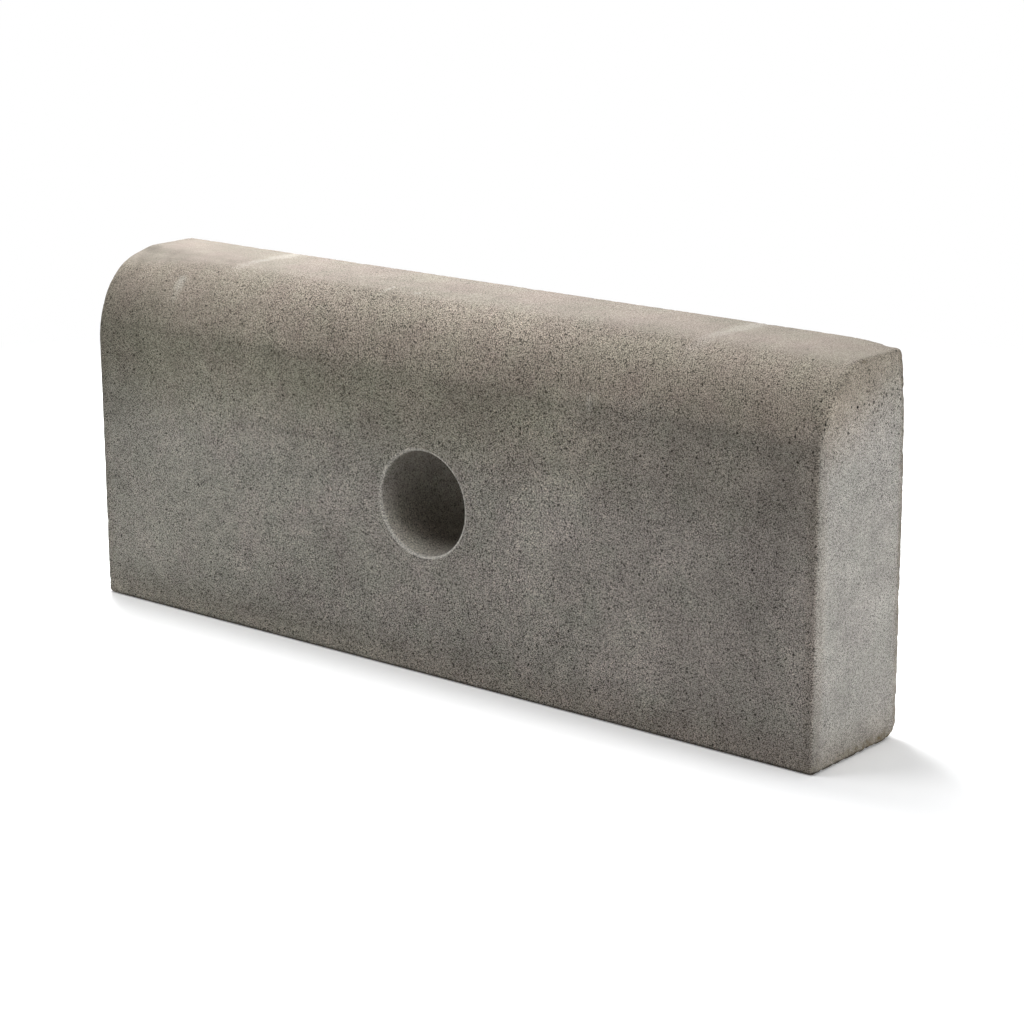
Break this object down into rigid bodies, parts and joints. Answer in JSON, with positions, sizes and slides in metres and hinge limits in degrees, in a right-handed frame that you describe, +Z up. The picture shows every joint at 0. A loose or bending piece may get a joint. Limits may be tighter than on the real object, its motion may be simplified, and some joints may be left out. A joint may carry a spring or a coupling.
{
  "type": "concrete kerb stone",
  "caption": "Upright concrete kerb slab with a rounded nose on its top front edge, softened arrises and a round carrying hole through its thickness.",
  "frame": {"origin": "on the ground under the middle of the stone: half way along its length and half way through its thickness", "axes": "+X along the kerb's length, +Y from the rounded front face towards the plain back face, +Z up"},
  "size_m": [0.618, 0.095, 0.25],
  "materials": {
    "concrete": "weathered cast concrete, sandy and matt"
  },
  "bodies": {
    "root": {"kerb_stone": "concrete"}
  },
  "joints": []
}
